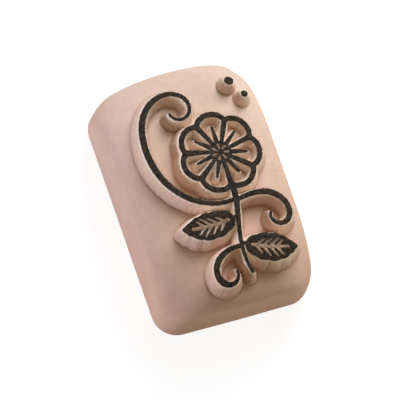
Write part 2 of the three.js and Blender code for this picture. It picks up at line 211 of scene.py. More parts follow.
def outline(inset):
    """A rounded rectangle in plan, counterclockwise, inset from the block's widest outline."""
    radius = CORNER_RADIUS - inset
    x = WIDTH / 2 - CORNER_RADIUS
    y = LENGTH / 2 - CORNER_RADIUS
    centres = np.array([(x, y), (-x, y), (-x, -y), (x, -y)], float)
    points = []
    for quarter in range(4):
        angles = (quarter + np.linspace(0, 1, CORNER_STEPS + 1)) * math.pi / 2
        arc = centres[quarter] + radius * np.stack([np.cos(angles), np.sin(angles)], 1)
        steps = SIDE_STEPS if quarter % 2 else END_STEPS
        following = centres[(quarter + 1) % 4] + arc[-1] - centres[quarter]
        shares = np.linspace(0, 1, steps + 1)[1:-1, None]
        points += [arc, lerp(arc[-1], following, shares)]
    return np.concatenate(points)


def rim_reach(x, y):
    """How far the rim reaches from the middle of the block in the direction of each plan point."""
    length = np.maximum(np.hypot(x, y), TINY)
    dx = np.maximum(np.abs(x) / length, TINY)
    dy = np.maximum(np.abs(y) / length, TINY)
    half_width = WIDTH / 2 - RIM_INSET
    half_length = LENGTH / 2 - RIM_INSET
    radius = CORNER_RADIUS - RIM_INSET
    corner_x = half_width - radius
    corner_y = half_length - radius
    along = dx * corner_x + dy * corner_y
    inside = np.maximum(along**2 - corner_x**2 - corner_y**2 + radius**2, 0)
    reach = along + np.sqrt(inside)
    to_side = half_width / dx
    to_end = half_length / dy
    reach = np.where(to_end * dx <= corner_x, to_end, reach)
    return np.where(to_side * dy <= corner_y, to_side, reach)


def cornerness(x, y):
    """How near a rim point is to a sharp corner, from 0 at the middle of a side or an end to 1."""
    return np.abs(x * y) / ((WIDTH / 2) * (LENGTH / 2))


def rim_height(x, y):
    """Height of the line between flank and shoulder. It sinks towards the corners."""
    to_middle = CORNER_RADIUS * (1 - math.sqrt(0.5))
    corner = cornerness(WIDTH / 2 - to_middle, LENGTH / 2 - to_middle)
    return lerp(FLANK_HEIGHT, CORNER_FLANK_HEIGHT, (cornerness(x, y) / corner) ** SINK_POWER)


def shoulder_height(x, y, share):
    """Height of the domed face and its shoulder, at a share of the way from the middle to a rim point."""
    plateau = FACE_HEIGHT - FACE_DOME * ((x * share / (WIDTH / 2)) ** 2 + (y * share / (LENGTH / 2)) ** 2)
    rise = np.sqrt(np.maximum(0, 1 - share**SHOULDER_POWER))
    return lerp(rim_height(x, y), plateau, rise)


def bow_factors(x, y, z):
    """The ends bow out and the long sides draw in, fully from the rim up, and not at all at the back."""
    share = np.minimum(1, z / FLANK_HEIGHT)

    def fade(distance, span):
        return np.cos(math.pi / 2 * np.minimum(1, np.abs(distance) / span)) ** 2

    waist = SIDE_WAIST * fade(y, LENGTH / 2 - CORNER_RADIUS / 2) * share
    swell = END_SWELL * fade(x, WIDTH / 2 - CORNER_RADIUS / 2) * share
    return 1 - waist / (WIDTH / 2), 1 + swell / (LENGTH / 2)


def bowed(points, z):
    factor_x, factor_y = bow_factors(points[:, 0], points[:, 1], z)
    return np.stack([points[:, 0] * factor_x, points[:, 1] * factor_y], 1)


def face_height(x, y):
    """Height of the cut face above each plan point."""
    factor_x, factor_y = bow_factors(x, y, FLANK_HEIGHT)
    x, y = x / factor_x, y / factor_y
    length = np.maximum(np.hypot(x, y), TINY)
    reach = rim_reach(x, y)
    share = np.minimum(1, length / reach)
    return shoulder_height(x / length * reach, y / length * reach, share)


# The artwork, as strokes: a spine in plan with a half width at each of its points


def towards(angle, length):
    return np.array([math.cos(angle), math.sin(angle)]) * length


def at(across, along):
    """A place in the artwork field, where across and along run from -1 to 1."""
    left = -WIDTH / 2 + LEFT_MARGIN
    right = WIDTH / 2 - RIGHT_MARGIN
    return np.array([lerp(left, right, (across + 1) / 2), along * (LENGTH / 2 - END_MARGIN)])


def stroke(spine, half_widths):
    """half_widths are evenly spaced along the spine."""
    spine = np.array(spine, float)
    reached = np.concatenate([[0], np.cumsum(np.hypot(*np.diff(spine, axis=0).T))])
    places = np.linspace(0, 1, len(half_widths))
    return spine, np.interp(reached / reached[-1], places, half_widths)


def spot(centre, radius):
    """A round mark, as a stroke on a spine too short to show."""
    nudge = np.array([radius / 20, 0])
    return stroke([centre - nudge, centre + nudge], [radius, radius])


def scroll(start, heading, length, turns):
    """A curl that leaves start with a heading in degrees."""
    strides = math.ceil(length / PEN_STRIDE)
    stride = length / strides
    shares = (np.arange(strides) + 0.5) / strides
    turning = np.interp(shares, np.linspace(0, 1, len(turns)), turns) / strides
    angles = np.radians(heading + np.cumsum(turning))
    steps = np.stack([np.cos(angles), np.sin(angles)], 1) * stride
    return np.concatenate([[start], start + np.cumsum(steps, 0)])


def along_spine(spine, share):
    """The point and the heading at a share of a spine's length."""
    place = share * (len(spine) - 1)
    i = min(len(spine) - 2, int(place))
    step = spine[i + 1] - spine[i]
    return spine[i] + step * (place - i), math.atan2(step[1], step[0])


BLOSSOM_CENTRE = at(*BLOSSOM_PLACE)
NOTCH_RADIUS = BLOSSOM_RADIUS - PETAL_NOTCH


def from_blossom(angle, radius):
    return BLOSSOM_CENTRE + towards(angle, radius)


def blossom():
    """Petals in outline, each with a rib, round a filled eye with a short slit for each."""
    petal_angle = 2 * math.pi / PETALS
    lines = [spot(BLOSSOM_CENTRE, EYE_RADIUS)]
    slits = []
    for i in range(PETALS):
        notch = FIRST_NOTCH + i * petal_angle
        edge = []
        for share in np.linspace(0, 1, PETAL_POINTS):
            radius = lerp(NOTCH_RADIUS, BLOSSOM_RADIUS, math.sin(math.pi * share) ** PETAL_ROUNDNESS)
            edge.append(from_blossom(notch + share * petal_angle, radius))
        lines.append(stroke(edge, [PETAL_HALF_WIDTH, PETAL_HALF_WIDTH]))
        divider = [from_blossom(notch, EYE_RADIUS / 2), from_blossom(notch, NOTCH_RADIUS)]
        lines.append(stroke(divider, [DIVIDER_HALF_WIDTH, NOTCH_HALF_WIDTH]))
        rib = notch + petal_angle / 2
        rib_spine = [from_blossom(rib, EYE_RADIUS / 2), from_blossom(rib, EYE_RADIUS + RIB_LENGTH)]
        lines.append(stroke(rib_spine, [RIB_HALF_WIDTH, TIP_HALF_WIDTH]))
        ends = (EYE_SLIT_START, EYE_SLIT_START + EYE_SLIT_LENGTH)
        slits.append(stroke([from_blossom(rib, end) for end in ends], EYE_SLIT_HALF_WIDTHS))
    return lines, slits


def tendril(start, heading, length, turns):
    swollen = TENDRIL_HALF_WIDTH + TENDRIL_SWELL
    half_widths = [TENDRIL_HALF_WIDTH, swollen, swollen, TIP_HALF_WIDTH]
    return [stroke(scroll(start, heading, length, turns), half_widths)], []


def leaf(start, heading, turn):
    """A filled leaf with scalloped edges on a short stalk, split by a midrib and its side veins."""
    spine = scroll(start, heading, LEAF_LENGTH, [turn, turn])
    reached = np.linspace(0, LEAF_LENGTH, len(spine))
    blade = np.clip((reached - LEAF_STALK) / (LEAF_LENGTH - LEAF_STALK), 0, 1)
    body = np.maximum(0, np.sin(math.pi * blade**LEAF_LEAN)) ** LEAF_FULLNESS
    scallop = SCALLOP_DEPTH * np.abs(np.sin(SCALLOPS * math.pi * blade)) * body
    scallop += TOOTH_DEPTH * np.abs(np.sin(TEETH * SCALLOPS * math.pi * blade)) * body
    half_widths = TIP_HALF_WIDTH + LEAF_HALF_WIDTH * body - scallop
    midrib = [along_spine(spine, share)[0] for share in MIDRIB]
    slits = [stroke(midrib, [VEIN_HALF_WIDTH, VEIN_HALF_WIDTH])]
    vein_angle = math.radians(VEIN_ANGLE)
    for share in np.linspace(*VEIN_ROOTS, VEINS):
        root, direction = along_spine(spine, share)
        reach = (np.interp(share * LEAF_LENGTH, reached, half_widths) - VEIN_MARGIN) / math.sin(vein_angle)
        for side in (-1, 1):
            tip = root + towards(direction + side * vein_angle, reach)
            slits.append(stroke([root, tip], [VEIN_HALF_WIDTH, VEIN_HALF_WIDTH / 2]))
    return [(spine, half_widths)], slits


def artwork():
    """Each motif's lines and slits, under its name."""
    stem = scroll(from_blossom(FIRST_NOTCH, NOTCH_RADIUS), STEM_HEADING, STEM_LENGTH, STEM_TURNS)

    def on_stem(share, heading):
        return along_spine(stem, share)[0], heading

    return {
        "blossom": blossom(),
        "stem": ([stroke(stem, [STEM_HALF_WIDTH, TIP_HALF_WIDTH])], []),
        "tendril_left": tendril(*on_stem(*LEFT_TENDRIL_ROOT), LEFT_TENDRIL_LENGTH, LEFT_TENDRIL_TURNS),
        "tendril_right": tendril(*on_stem(*RIGHT_TENDRIL_ROOT), RIGHT_TENDRIL_LENGTH, RIGHT_TENDRIL_TURNS),
        "tendril_low": tendril(*on_stem(*LOW_TENDRIL_ROOT), LOW_TENDRIL_LENGTH, LOW_TENDRIL_TURNS),
        "leaf_left": leaf(*on_stem(*LEFT_LEAF_ROOT), -LEAF_TURN),
        "leaf_right": leaf(*on_stem(*RIGHT_LEAF_ROOT), LEAF_TURN),
        "dot_large": ([spot(at(*DOT_PLACE), DOT_RADIUS)], []),
        "dot_small": ([spot(at(*SMALL_DOT_PLACE), SMALL_DOT_RADIUS)], []),
    }


def bent_wave(along, across, rate, bend, bend_rate):
    return np.sin(rate * along + bend * np.sin(bend_rate * across))


def waves(x, y, along_x, along_y):
    return bent_wave(x, y, *along_x) * bent_wave(y, x, *along_y)


def wobble(x, y):
    """The unevenness of a cut edge in soft foam, in millimetres, at each plan point."""
    return EDGE_WOBBLE * (SLOW_WOBBLE_SHARE * waves(x, y, *SLOW_WAVES) + waves(x, y, *QUICK_WAVES))


def distance_field(strokes, x, y):
    """Distance from each plan point to the nearest edge of the strokes, negative inside them."""
    field = np.full(x.shape, FAR)
    for spine, half_widths in strokes:
        span = half_widths.max() + FIELD_REACH
        low, high = spine.min(0) - span, spine.max(0) + span
        near = (x > low[0]) & (x < high[0]) & (y > low[1]) & (y < high[1])
        px, py = x[near], y[near]
        best = field[near]
        for a, b, half_a, half_b in zip(spine[:-1], spine[1:], half_widths[:-1], half_widths[1:]):
            step = b - a
            place = ((px - a[0]) * step[0] + (py - a[1]) * step[1]) / (step @ step)
            place = np.clip(place, 0, 1)
            away = np.hypot(px - a[0] - place * step[0], py - a[1] - place * step[1])
            np.minimum(best, away - lerp(half_a, half_b, place), out=best)
        field[near] = best
    return field + wobble(x, y)


class Print:
    """The artwork's fields, on a grid over the face and at any points."""

    def __init__(self):
        self.motifs = artwork()
        self.lines = [line for lines, _ in self.motifs.values() for line in lines]
        self.slits = [slit for _, slits in self.motifs.values() for slit in slits]
        self.xs = np.arange(-WIDTH / 2 + SIDE_GRID_MARGIN, WIDTH / 2 - SIDE_GRID_MARGIN, GRID)
        self.ys = np.arange(-LENGTH / 2 + END_GRID_MARGIN, LENGTH / 2 - END_GRID_MARGIN, GRID)
        grid_x, grid_y = np.meshgrid(self.xs, self.ys, indexing="ij")
        self.to_edge = distance_field(self.lines, grid_x, grid_y)
        self.to_slit = distance_field(self.slits, grid_x, grid_y)
        self.inked = np.maximum(self.to_edge, -self.to_slit)

    def inked_at(self, x, y):
        """Distance to the edge of the print's inked area, negative inside it."""
        return np.maximum(distance_field(self.lines, x, y), -distance_field(self.slits, x, y))

    def contour(self, field, level):
        """The points and segments of a field's contour, found on the grid's edges."""
        value = field - level
        value = np.where(np.abs(value) < SNAP, np.where(value < 0, -SNAP, SNAP), value)
        inside = value < 0
        points = []
        across = np.full(value.shape, -1)
        i, j = np.nonzero(inside[:-1] != inside[1:])
        share = value[i, j] / (value[i, j] - value[i + 1, j])
        across[i, j] = np.arange(len(i))
        points.append(np.stack([self.xs[i] + share * GRID, self.ys[j]], 1))
        along = np.full(value.shape, -1)
        i, j = np.nonzero(inside[:, :-1] != inside[:, 1:])
        share = value[i, j] / (value[i, j] - value[i, j + 1])
        along[i, j] = len(points[0]) + np.arange(len(i))
        points.append(np.stack([self.xs[i], self.ys[j] + share * GRID], 1))
        sides = np.stack([across[:-1, :-1], along[1:, :-1], across[:-1, 1:], along[:-1, :-1]], -1)
        sides = sides.reshape(-1, 4)
        crossed = sides >= 0
        two = sides[crossed.sum(1) == 2]
        four = sides[crossed.sum(1) == 4]
        segments = [two[two >= 0].reshape(-1, 2), four[:, [0, 1]], four[:, [2, 3]]]
        return np.concatenate(points), np.concatenate(segments)

    def add_contours(self, points, edges, field, levels):
        """Add a field's contours to the lists of a mesh's points and edges."""
        for level in levels:
            contour, segments = self.contour(field, level)
            edges.append(segments + sum(map(len, points)))
            points.append(contour)

    def valleys(self):
        """Grid points along the lines where the walls of two strokes meet, clear of the contours."""
        i, j = np.nonzero((self.to_edge > VALLEY_START) & (self.to_edge < WALL_LEVELS[-1]))
        points = np.stack([self.xs[i], self.ys[j]], 1)
        smooth = self.to_edge - wobble(*np.meshgrid(self.xs, self.ys, indexing="ij"))
        slope = np.hypot(*np.gradient(smooth, GRID))[i, j]
        clear = np.abs(self.to_edge[i, j, None] - np.array(WALL_LEVELS)).min(1) > VALLEY_GAP
        return points[(slope < VALLEY_SLOPE) & clear]


def noise_at(x, y, z, scale):
    """Smooth noise from -1 to 1 at arrays of points, with features of about the given size."""
    return np.array([noise.noise((a / scale, b / scale, c / scale)) for a, b, c in zip(x, y, z)])


def cell_floor(x, y):
    """Height above the cut face at which the cut ends: inside the petals it is shallower."""
    across, along = x - BLOSSOM_CENTRE[0], y - BLOSSOM_CENTRE[1]
    share = (np.arctan2(along, across) / math.tau - FIRST_NOTCH / math.tau) * PETALS % 1
    petal = lerp(NOTCH_RADIUS, BLOSSOM_RADIUS, np.sin(math.pi * share) ** PETAL_ROUNDNESS)
    return CELL_FLOOR * (np.hypot(across, along) < petal)


def relief_height(art, x, y):
    """Height of the foam above the cut face at each plan point, with the distances that it comes from."""
    edge = distance_field(art.lines, x, y)
    slit = distance_field(art.slits, x, y)
    near = edge < WALL_REACH
    slope_x = (distance_field(art.lines, x + GRADIENT_STEP, y) - edge) / GRADIENT_STEP
    slope_y = (distance_field(art.lines, x, y + GRADIENT_STEP) - edge) / GRADIENT_STEP
    crown_x, crown_y = x - slope_x * edge, y - slope_y * edge
    flutes = np.zeros(x.shape)
    layer = np.zeros(near.sum())
    flutes[near] = noise_at(crown_x[near], crown_y[near], layer, FLUTE_WIDTH)
    broad = noise_at(crown_x[near], crown_y[near], layer + FLUTE_LAYER, BROAD_FLUTE_WIDTH)
    flutes[near] += BROAD_FLUTE_SHARE * broad
    flutes *= FLUTE_DEPTH * np.clip(edge, 0, 1)
    crown = RELIEF_DEPTH - INK_DEPTH
    wall = crown - (edge + flutes) / FLARE
    floor = cell_floor(x, y)
    above = wall - floor
    wall = floor + np.where(near, (above + np.sqrt(above**2 + FOOT_FILLET**2)) / 2, 0)
    rise = (wall + crown - np.sqrt((wall - crown) ** 2 + CROWN_ROUND**2)) / 2
    groove = (edge + flutes - FLARE * (crown - floor)) / FOOT_GROOVE_WIDTH
    rise = rise - FOOT_GROOVE * np.exp(-(groove**2))
    veins = np.clip(-slit / SLIT_TAPER, 0, SLIT_DEPTH)
    return np.minimum(rise, crown - veins), edge, slit


# Meshes


def triangulate(points, edges):
    """Triangles between the edges.

    Returns the corners, the triangles, each triangle's region, and the inputs that each corner comes from.
    """
    flat = [Vector(point) for point in points]
    edges = [tuple(map(int, edge)) for edge in edges]
    corners, sides, faces, sources, side_sources, _ = delaunay_2d_cdt(
        flat, edges, [], INSIDE_EDGES, MERGE_DISTANCE, True
    )
    corners = np.array([tuple(corner) for corner in corners])
    triangles = np.array([face for face in faces if len(face) == 3])
    turned = areas(corners, triangles) < 0
    triangles[turned] = triangles[turned][:, ::-1]
    borders = {tuple(sorted(side)) for side, inputs in zip(sides, side_sources) if inputs}
    pairs = [(i, j) for i, j, side in neighbours(triangles) if side not in borders]
    return corners, triangles, regions(len(triangles), pairs), sources


def areas(corners, triangles):
    """The triangles' areas, negative for those that turn clockwise."""
    a, b, c = (corners[triangles[:, k]] for k in range(3))
    return ((b[:, 0] - a[:, 0]) * (c[:, 1] - a[:, 1]) - (b[:, 1] - a[:, 1]) * (c[:, 0] - a[:, 0])) / 2


def neighbours(triangles):
    """The pairs of triangles that share a side, with the side's corners."""
    seen, pairs = {}, []
    for index, triangle in enumerate(triangles.tolist()):
        for a, b in zip(triangle, triangle[1:] + triangle[:1]):
            side = (min(a, b), max(a, b))
            if side in seen:
                pairs.append((seen[side], index, side))
            seen[side] = index
    return pairs


def regions(count, pairs):
    """For each triangle, the number of its region, which the joined pairs of triangles make up."""
    joined = [[] for _ in range(count)]
    for i, j in pairs:
        joined[i].append(j)
        joined[j].append(i)
    region = np.full(count, -1)
    for start in range(count):
        queue = [start] if region[start] < 0 else []
        while queue:
            index = queue.pop()
            if region[index] < 0:
                region[index] = start
                queue += joined[index]
    return region


def hexagonal(spacing):
    """Evenly spaced plan points over the whole block."""
    rows = np.arange(-LENGTH / 2, LENGTH / 2, spacing * ROW_SHARE)
    columns = np.arange(-WIDTH / 2, WIDTH / 2, spacing)
    grid_x, grid_y = np.meshgrid(columns, rows, indexing="ij")
    grid_x = grid_x + (np.arange(len(rows)) % 2) * spacing / 2
    return grid_x.ravel(), grid_y.ravel()


def new_object(name, vertices, faces, material, sharp_angle):
    mesh = bpy.data.meshes.new(name)
    mesh.from_pydata((np.asarray(vertices) * MM).tolist(), [], faces)
    mesh.validate()
    mesh.polygons.foreach_set("use_smooth", [True] * len(mesh.polygons))
    mesh.set_sharp_from_angle(angle=math.radians(sharp_angle))
    mesh.materials.append(material)
    piece = bpy.data.objects.new(name, mesh)
    bpy.context.scene.collection.objects.link(piece)
    return piece


def add_attribute(piece, name, values):
    attribute = piece.data.attributes.new(name, "FLOAT", "POINT")
    attribute.data.foreach_set("value", np.asarray(values, np.float32))


def smoothstep(low, high, value):
    share = np.clip((value - low) / (high - low), 0, 1)
    return share * share * (3 - 2 * share)


def lower_rings():
    """The rings of the moulding below its rim: down the flank, round the back's edge and in over the back."""
    rings = []
    for share in np.linspace(1, 0, FLANK_STEPS + 1)[1:]:
        ring = outline(RIM_INSET * share)
        height = lerp(BACK_EDGE_RADIUS, rim_height(ring[:, 0], ring[:, 1]), share)
        rings.append(np.column_stack([bowed(ring, height), height]))
    for turn in np.linspace(math.pi / 2, 0, BACK_EDGE_STEPS + 1)[1:]:
        ring = outline(BACK_EDGE_RADIUS * (1 - math.sin(turn)))
        height = np.full(len(ring), BACK_EDGE_RADIUS * (1 - math.cos(turn)))
        rings.append(np.column_stack([bowed(ring, height), height]))
    sole = rings[-1]
    return rings + [sole * share for share in SOLE_SHARES]


def foam_mesh(art, material):
    """The whole foam moulding as one skin: face with relief, shoulder, flanks, back edge and back."""
    rim = outline(RIM_INSET)
    count = len(rim)
    shares = np.cos(np.arange(SHOULDER_STEPS) / SHOULDER_STEPS * math.pi / 2) ** (2 / SHOULDER_POWER)
    rings = [bowed(rim * share, FLANK_HEIGHT) for share in shares]
    heights = [shoulder_height(rim[:, 0], rim[:, 1], share) for share in shares]

    # The face and the flatter part of its shoulder, in plan
    points = [rings[STEEP_STEPS]]
    edges = [np.stack([np.arange(count), (np.arange(count) + 1) % count], 1)]
    art.add_contours(points, edges, art.to_edge, WALL_LEVELS)
    art.add_contours(points, edges, np.maximum(art.to_slit, art.to_edge), SLIT_LEVELS)
    hex_x, hex_y = hexagonal(FACE_SPACING)
    inside = np.hypot(hex_x, hex_y) < rim_reach(hex_x, hex_y) * (shares[-1] - SHOULDER_GAP)
    even = np.concatenate([*rings[STEEP_STEPS + 1 :], np.stack([hex_x[inside], hex_y[inside]], 1)])
    to_edge = distance_field(art.lines, even[:, 0], even[:, 1])
    points += [even[(to_edge > FACE_GAP) | (to_edge < -CROWN_GAP)], art.valleys()]
    corners, triangles, region, sources = triangulate(np.concatenate(points), np.concatenate(edges))

    # Slivers beyond the outer ring have all their corners on it
    on_ring = np.array([min(source, default=count) < count for source in sources])
    beyond = [number for number in np.unique(region) if on_ring[triangles[region == number]].all()]
    triangles = triangles[~np.isin(region, beyond)]
    ring_corners = np.zeros(count, int)
    for corner, source in enumerate(sources):
        for i in source:
            if i < count:
                ring_corners[i] = corner
    x, y = corners.T
    rise, edge, slit = relief_height(art, x, y)
    z = face_height(x, y) + rise
    z[ring_corners] = heights[STEEP_STEPS]

    # The steep part of the shoulder and all below it, ring by ring
    vertices = [np.stack([x, y, z], 1)]
    faces = triangles.tolist()
    above = ring_corners
    steep = [np.column_stack([rings[step], heights[step]]) for step in reversed(range(STEEP_STEPS))]
    for ring in steep + lower_rings():
        below = sum(map(len, vertices)) + np.arange(count)
        vertices.append(ring)
        for i in range(count):
            j = (i + 1) % count
            faces.append((above[i], below[i], below[j], above[j]))
        above = below
    faces.append(above[::-1].tolist())
    faces = [tuple(map(int, face)) for face in faces]
    vertices = np.concatenate(vertices)
    piece = new_object("foam_stamp_body", vertices, faces, material, FOAM_SHARP_ANGLE)

    foot_line = FLARE * (RELIEF_DEPTH - cell_floor(x, y))
    # Masks for the foam's looks: cut walls, paler where walls stand close (painted light in the recesses);
    # lips, partly painted highlight; the foot line, painted shade in its crease
    looks = {
        "wall": smoothstep(*WALL_RISE, rise) * (edge > -CROWN_LOOK),
        "lip": (np.abs(edge) < LIP_LOOK) | (slit < SLIT_LIP_LOOK),
        "foot": np.exp(-(((edge - foot_line) / FOOT_GROOVE_WIDTH) ** 2)),
        "shade": closeness(art, x, y),
    }
    for name, values in looks.items():
        add_attribute(piece, name, np.concatenate([values, np.zeros(len(vertices) - len(x))]))
    return piece


def closeness(art, x, y):
    """How closely the print's walls stand round each plan point, from 0 to 1."""
    mask = (art.to_edge < 0).astype(float)
    width = int(SHADE_BLUR / GRID)
    kernel = np.exp(-0.5 * (np.arange(-2 * width, 2 * width + 1) / width) ** 2)  # a bell curve
    kernel /= kernel.sum()
    for axis in (0, 1):
        mask = np.apply_along_axis(lambda row: np.convolve(row, kernel, "same"), axis, mask)
    i = np.clip((x - art.xs[0]) / GRID, 0, len(art.xs) - 2)
    j = np.clip((y - art.ys[0]) / GRID, 0, len(art.ys) - 2)
    return smoothstep(*SHADE_RANGE, mask[i.astype(int), j.astype(int)])


def ink_skin(art):
    """The corners and triangles of all the ink in plan."""
    points, edges = [], []
    art.add_contours(points, edges, art.inked, (-INK_INSET, -INK_INSET - INK_ROUND))
    hex_x, hex_y = hexagonal(INK_SPACING)
    inside = art.inked_at(hex_x, hex_y) < -INK_INSET - INK_ROUND - INK_GAP
    points.append(np.stack([hex_x[inside], hex_y[inside]], 1))
    corners, triangles, region, _ = triangulate(np.concatenate(points), np.concatenate(edges))
    middle = corners[triangles].mean(1)
    depth = -INK_INSET - art.inked_at(middle[:, 0], middle[:, 1])
    coated = [number for number in np.unique(region) if depth[region == number].mean() > 0]
    triangles = triangles[np.isin(region, coated)]
    island = regions(len(triangles), [pair[:2] for pair in neighbours(triangles)])
    return corners, triangles[np.bincount(island, areas(corners, triangles))[island] > SCRAP]


def nearest_motif(art, corners, triangles):
    """Each triangle's motif, by number. Scraps of one motif beside another go to the other."""
    middle = corners[triangles].mean(1)
    fields = [distance_field(lines, middle[:, 0], middle[:, 1]) for lines, _ in art.motifs.values()]
    owner = np.argmin(fields, 0)
    pairs = [pair[:2] for pair in neighbours(triangles)]
    patch = regions(len(triangles), [(i, j) for i, j in pairs if owner[i] == owner[j]])
    size = np.bincount(patch, areas(corners, triangles))
    for i, j in pairs + [(j, i) for i, j in pairs]:
        if size[patch[i]] < SCRAP <= size[patch[j]]:
            owner[patch == patch[i]] = owner[j]
    return owner


def ink_meshes(art, material):
    """One thin coat for each motif. Where motifs meet, their coats meet."""
    corners, triangles = ink_skin(art)
    owner = nearest_motif(art, corners, triangles)
    x, y = corners.T
    depth = -INK_INSET - art.inked_at(x, y)
    crown = face_height(x, y) + RELIEF_DEPTH
    top = crown - INK_DEPTH * INK_EDGE_LOSS * (1 - smoothstep(INK_ROUND_START, INK_ROUND, depth))
    bottom = crown - INK_DEPTH * INK_UNDERSIDE
    pieces = []
    for index, name in enumerate(art.motifs):
        used, local = np.unique(triangles[owner == index], return_inverse=True)
        local = local.reshape(-1, 3)
        count = len(used)
        upper = np.stack([x[used], y[used], top[used]], 1)
        lower = np.stack([x[used], y[used], bottom[used]], 1)
        sides = {(a, b) for t in local for a, b in zip(t, np.roll(t, -1))}
        walls = [(b, a, a + count, b + count) for a, b in sides if (b, a) not in sides]
        faces = local.tolist() + (local[:, ::-1] + count).tolist() + sorted(walls)
        faces = [tuple(map(int, face)) for face in faces]
        vertices = np.concatenate([upper, lower])
        pieces.append((name, new_object(f"ink_coat_{name}", vertices, faces, material, INK_SHARP_ANGLE)))
    return pieces


# Materials


class Nodes:
    """Short names for building the node tree of a material or a world. Scales are per metre."""

    def __init__(self, owner, output="ShaderNodeOutputMaterial"):
        self.owner = owner
        self.owner.use_nodes = True
        self.tree = self.owner.node_tree
        self.tree.nodes.clear()
        self.output = self.add(output)

    def add(self, kind, **settings):
        node = self.tree.nodes.new(kind)
        for key, value in settings.items():
            if key in node.inputs:
                node.inputs[key].default_value = value
            else:
                setattr(node, key, value)
        return node

    def link(self, source, target):
        self.tree.links.new(source, target)

    def noise(self, scale, detail=3, roughness=0.55):
        node = self.add("ShaderNodeTexNoise", Scale=scale, Detail=detail, Roughness=roughness)
        self.link(self.place, node.inputs["Vector"])
        return node.outputs["Fac"]

    def ramp(self, value, stops):
        node = self.add("ShaderNodeValToRGB")
        while len(node.color_ramp.elements) < len(stops):
            node.color_ramp.elements.new(0.5)
        for element, (position, colour) in zip(node.color_ramp.elements, stops):
            element.position = position
            element.color = (*colour, 1) if isinstance(colour, tuple) else (colour, colour, colour, 1)
        self.link(value, node.inputs["Fac"])
        return node.outputs["Color"]

    def mix(self, factor, first, second, blend_type="MIX"):
        node = self.add("ShaderNodeMix", data_type="RGBA", blend_type=blend_type)
        for socket, value in ((node.inputs[0], factor), (node.inputs[6], first), (node.inputs[7], second)):
            if isinstance(value, bpy.types.NodeSocket):
                self.link(value, socket)
            elif isinstance(value, tuple):
                socket.default_value = (*value, 1)
            else:
                socket.default_value = value
        return node.outputs[2]

    def math(self, operation, *values):
        node = self.add("ShaderNodeMath", operation=operation)
        for socket, value in zip(node.inputs, values):
            if isinstance(value, bpy.types.NodeSocket):
                self.link(value, socket)
            else:
                socket.default_value = value
        return node.outputs[0]

    def attribute(self, name):
        return self.add("ShaderNodeAttribute", attribute_name=name).outputs["Fac"]

    def bump(self, height, distance, strength=1.0, below=None):
        node = self.add("ShaderNodeBump", Distance=distance, Strength=strength)
        self.link(height, node.inputs["Height"])
        if below is not None:
            self.link(below, node.inputs["Normal"])
        return node.outputs["Normal"]

    def plain_where_seen(self, lit, plain):
        """The lit shader, and the plain one to the camera and in gloss and glass."""
        path = self.add("ShaderNodeLightPath")
        seen = self.math("MAXIMUM", path.outputs["Is Camera Ray"], path.outputs["Is Glossy Ray"])
        seen = self.math("MAXIMUM", seen, path.outputs["Is Transmission Ray"])
        either = self.add("ShaderNodeMixShader")
        self.link(seen, either.inputs[0])
        self.link(lit.outputs[0], either.inputs[1])
        self.link(plain.outputs[0], either.inputs[2])
        return either

    def finish(self, shader):
        self.link(shader.outputs[0], self.output.inputs["Surface"])
        return self.owner


def linear(red, green, blue):
    """A colour as the eye reads it, 0 to 255, for a shader."""
    return tuple(c / 3294.6 if c <= 10 else ((c / 255 + 0.055) / 1.055) ** 2.4 for c in (red, green, blue))


FOAM_SPECULAR = 0.17
# Painted light and shade: the foam is coloured darker and warmer towards the near end and lighter towards the
# far end, as light falls across the block
NEAR_END_PAINTED_SHADE = (0.99, 0.925, 0.875)
FAR_END_PAINTED_LIGHT = (0.985, 1.035, 1.035)
PAINTED_LIGHT_RATE = 15.0  # per metre along the block, so that the painted shade of the near end passes into the painted light of the far end
PAINTED_LIGHT_MIDDLE = 0.5
# How far each look covers what lies under it; some of these looks are painted light and shade, as marked
# where they are used
BLOTCHES = 0.4
WALL_CUT_AND_PAINTED_LIGHT = 0.85
LIP_PALENESS_AND_HIGHLIGHT = 0.8
FOOT_PAINTED_SHADE = 0.4
PORES = 0.5
INK_SPECULAR = 0.11
INK_WEAR_AND_SHEEN = 0.4


